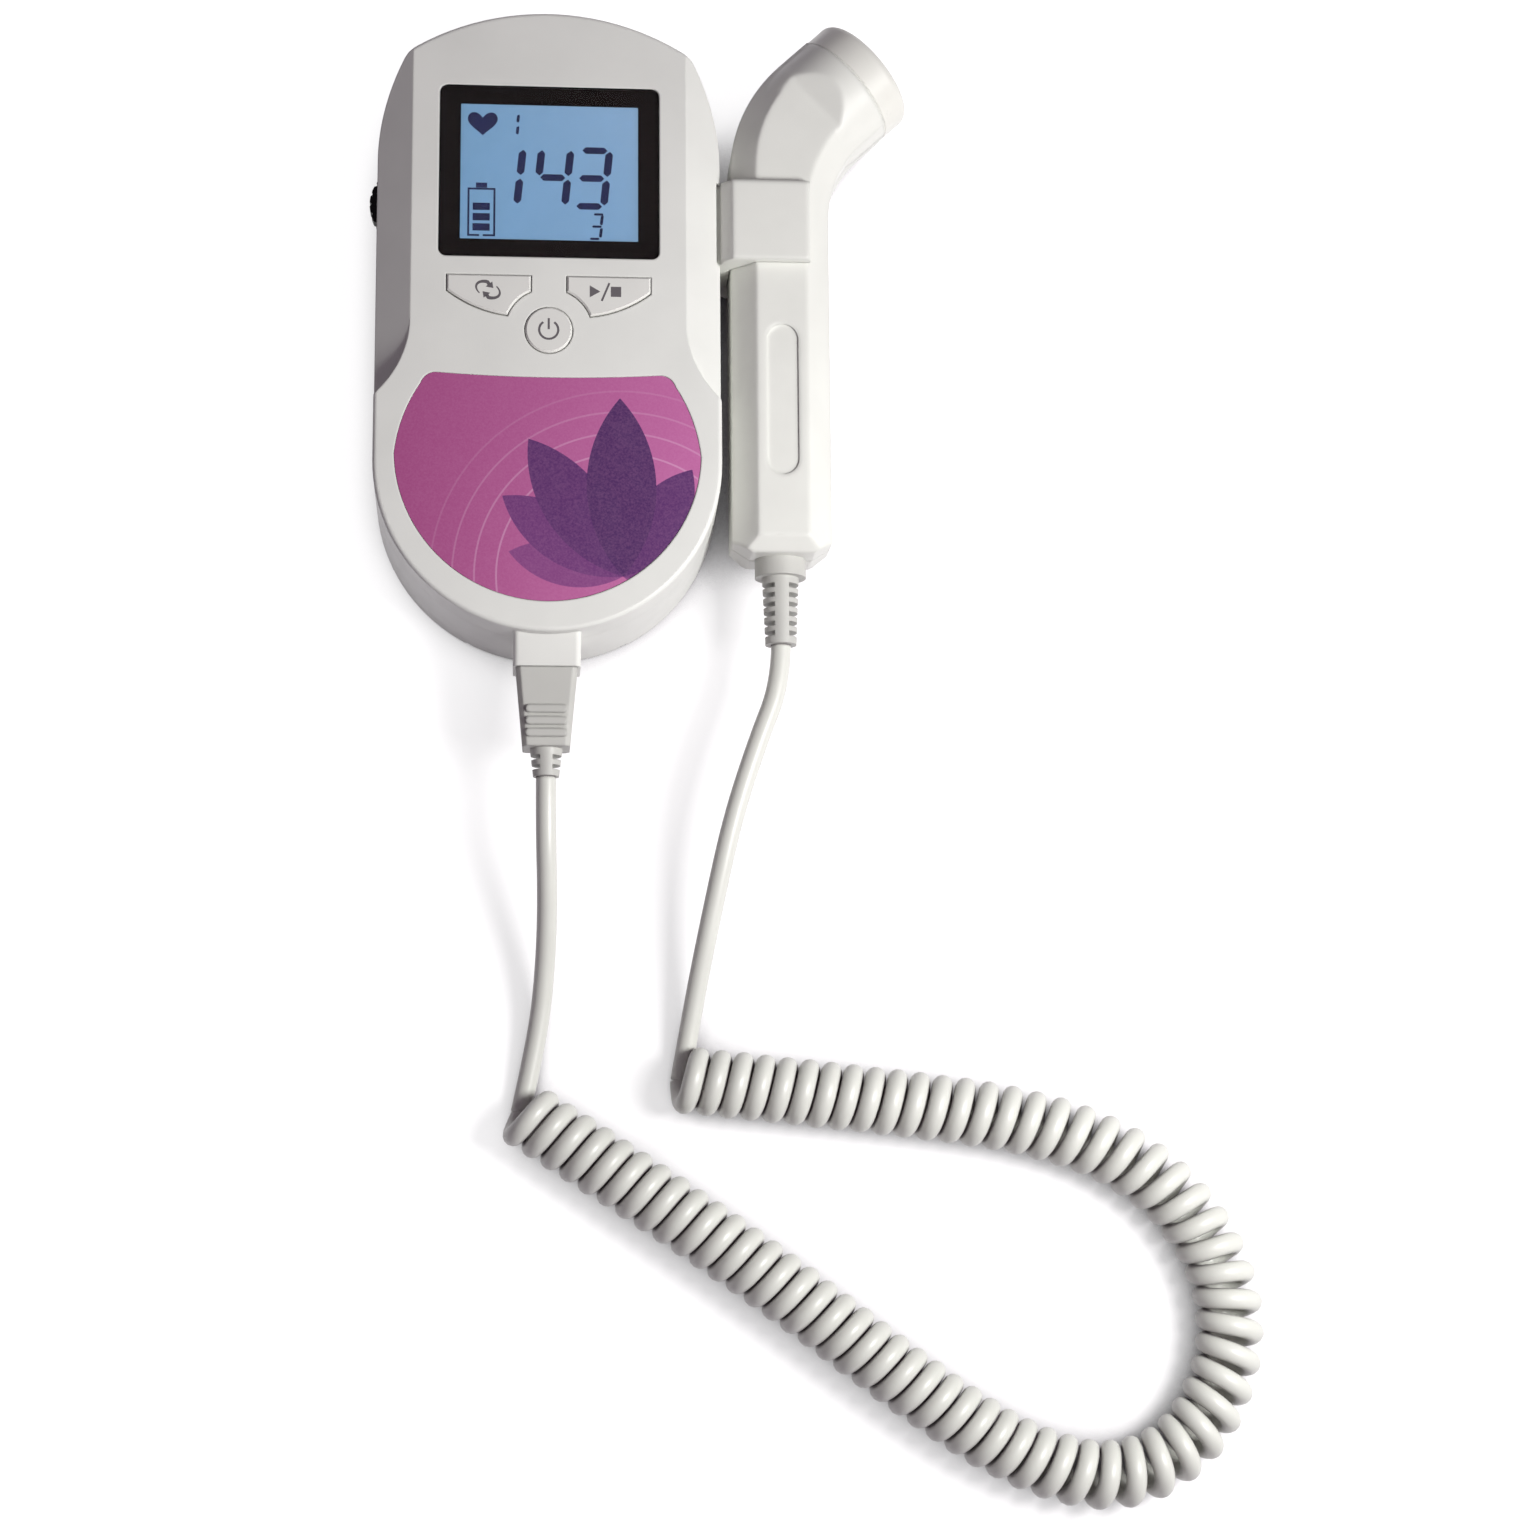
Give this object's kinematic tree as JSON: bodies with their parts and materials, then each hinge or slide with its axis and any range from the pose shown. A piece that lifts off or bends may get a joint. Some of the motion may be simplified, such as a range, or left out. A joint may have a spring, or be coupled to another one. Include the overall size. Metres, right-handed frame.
{
  "type": "fetal doppler",
  "caption": "Hand-held fetal doppler: display unit with sprung keys, volume wheel and battery door, clipped-on wedge probe and curly cord with plug.",
  "frame": {"origin": "middle of the flat back face of the display unit, in the plane that it lies on", "axes": "+X to the unit's right, where the probe is clipped; +Y towards its top end, away from the plug; +Z out of the screen"},
  "size_m": [0.1892, 0.3171, 0.0315],
  "materials": {
    "housing": "fine satin",
    "key": "satin",
    "screen_black": "glossy",
    "lcd": "glossy",
    "light_guide": "frosted",
    "label": "semi-gloss print",
    "board": "solder mask",
    "black_plastic": "satin",
    "steel": "zinc plated",
    "spring_steel": "nickel plated",
    "cell": "printed sleeve",
    "probe_shell": "fine satin",
    "probe_nose": "satin",
    "lens": "smooth",
    "ceramic": "fired ceramic",
    "backing": "filled resin",
    "cord_jacket": "matt",
    "grey_moulding": "matt"
  },
  "bodies": {
    "monitor": {"front_shell": "housing", "rear_shell": "housing", "screen_window": "screen_black", "lcd_panel": "lcd", "lcd_backlight": "light_guide", "label_panel": "label", "main_board": "board", "key_switches": "black_plastic", "speaker": "black_plastic", "volume_potentiometer": "black_plastic", "headphone_jack": "black_plastic", "probe_socket": "black_plastic", "battery_contacts": "spring_steel", "battery_1": "cell", "battery_2": "cell", "case_screws": "steel", "board_screws": "steel", "probe_holder": "housing", "holder_screws": "steel", "probe_lead": "cord_jacket", "coiled_cord": "cord_jacket", "plug_lead": "cord_jacket"},
    "mode_key": {"mode_key": "key"},
    "start_stop_key": {"start_stop_key": "key"},
    "power_key": {"power_key": "key"},
    "volume_wheel": {"volume_wheel": "black_plastic"},
    "battery_door": {"battery_door": "housing"},
    "probe": {"probe_front_shell": "probe_shell", "probe_rear_shell": "probe_shell", "transducer_cap": "probe_nose", "acoustic_face": "lens", "crystals": "ceramic", "damping_block": "backing", "probe_board": "board", "probe_boot": "grey_moulding"},
    "plug": {"probe_plug": "grey_moulding", "plug_strain_relief": "grey_moulding"}
  },
  "joints": [
    {"name": "mode_key_press", "type": "slide", "parent": "monitor", "child": "mode_key", "axis": [0, 0, -1], "range_m": [0, 0.0006], "stiffness_N_per_m": 1500, "springref_m": -0.0003},
    {"name": "start_stop_key_press", "type": "slide", "parent": "monitor", "child": "start_stop_key", "axis": [0, 0, -1], "range_m": [0, 0.0006], "stiffness_N_per_m": 1500, "springref_m": -0.0003},
    {"name": "power_key_press", "type": "slide", "parent": "monitor", "child": "power_key", "axis": [0, 0, -1], "range_m": [0, 0.0006], "stiffness_N_per_m": 1500, "springref_m": -0.0003},
    {"name": "volume_turn", "type": "hinge", "parent": "monitor", "child": "volume_wheel", "pos_m": [-0.0295, 0.0284, 0.016], "axis": [0, 0, 1], "range_deg": [-140, 140]},
    {"name": "battery_door_slide", "type": "slide", "parent": "monitor", "child": "battery_door", "axis": [0, -1, 0], "range_m": [0, 0.012]},
    {"name": "probe_release", "type": "slide", "parent": "monitor", "child": "probe", "axis": [1, 0, 0], "range_m": [0, 0.022], "deforming": ["probe_lead"]},
    {"name": "plug_release", "type": "slide", "parent": "monitor", "child": "plug", "axis": [0, -1, 0], "range_m": [0, 0.009], "deforming": ["plug_lead"]}
  ]
}
